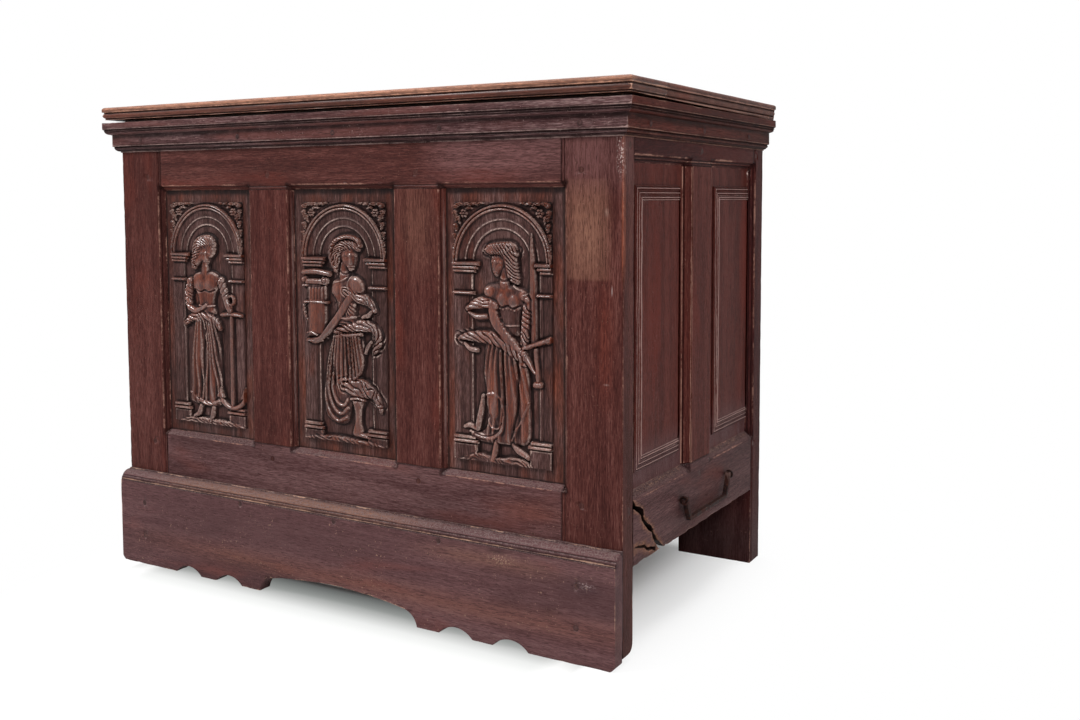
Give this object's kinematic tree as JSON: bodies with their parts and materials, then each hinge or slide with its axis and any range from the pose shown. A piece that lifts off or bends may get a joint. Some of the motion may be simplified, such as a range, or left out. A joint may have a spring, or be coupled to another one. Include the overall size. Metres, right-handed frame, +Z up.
{
  "type": "coffer chest",
  "caption": "Joined oak coffer with carved arcaded front panels, panelled ends, a plank lid on strap hinges and iron drop handles.",
  "frame": {"origin": "on the floor, at the middle of the whole coffer's box seen from above", "axes": "+Z up; the carved front faces -Y; +X is the end at the viewer's right"},
  "size_m": [1.063, 0.6104, 0.83],
  "materials": {
    "oak": "waxed dark oak, worn pale on the arrises",
    "iron": "hand-forged, dark brown rust"
  },
  "bodies": {
    "carcass": {"back_bearer": "oak", "back_bottom_rail": "oak", "back_left_muntin": "oak", "back_left_panel": "oak", "back_left_stile": "oak", "back_middle_panel": "oak", "back_pegs": "oak", "back_right_muntin": "oak", "back_right_panel": "oak", "back_right_stile": "oak", "back_top_rail": "oak", "cornice_front": "oak", "cornice_left": "oak", "cornice_nails": "iron", "cornice_right": "oak", "end_pegs": "oak", "floor_left_board": "oak", "floor_middle_left_board": "oak", "floor_middle_right_board": "oak", "floor_right_board": "oak", "front_bearer": "oak", "front_bottom_rail": "oak", "front_left_muntin": "oak", "front_left_panel": "oak", "front_left_stile": "oak", "front_middle_panel": "oak", "front_pegs": "oak", "front_right_muntin": "oak", "front_right_panel": "oak", "front_right_stile": "oak", "front_top_rail": "oak", "hinge_nails": "iron", "left_back_panel": "oak", "left_bottom_rail": "oak", "left_front_panel": "oak", "left_hinge_leaf": "iron", "left_hinge_pin": "iron", "left_muntin": "oak", "left_staples": "iron", "left_top_rail": "oak", "plinth_board": "oak", "plinth_nails": "iron", "right_back_panel": "oak", "right_bottom_rail": "oak", "right_front_panel": "oak", "right_hinge_leaf": "iron", "right_hinge_pin": "iron", "right_muntin": "oak", "right_staples": "iron", "right_top_rail": "oak"},
    "lid": {"left_lid_strap": "iron", "lid_back_board": "oak", "lid_front_board": "oak", "lid_left_batten": "oak", "lid_middle_board": "oak", "lid_nails": "iron", "lid_right_batten": "oak", "right_lid_strap": "iron"},
    "right_bail": {"right_handle": "iron"},
    "left_bail": {"left_handle": "iron"}
  },
  "joints": [
    {"name": "lid_hinge", "type": "hinge", "parent": "carcass", "child": "lid", "pos_m": [0, 0.29918, 0.79895], "axis": [-1, 0, 0], "range_deg": [0, 100]},
    {"name": "right_bail_pivot", "type": "hinge", "parent": "carcass", "child": "right_bail", "pos_m": [0.5155, 0.01777, 0.194], "axis": [0, -1, 0], "range_deg": [-4, 170]},
    {"name": "left_bail_pivot", "type": "hinge", "parent": "carcass", "child": "left_bail", "pos_m": [-0.5155, 0.01777, 0.194], "axis": [0, 1, 0], "range_deg": [-4, 170]}
  ]
}
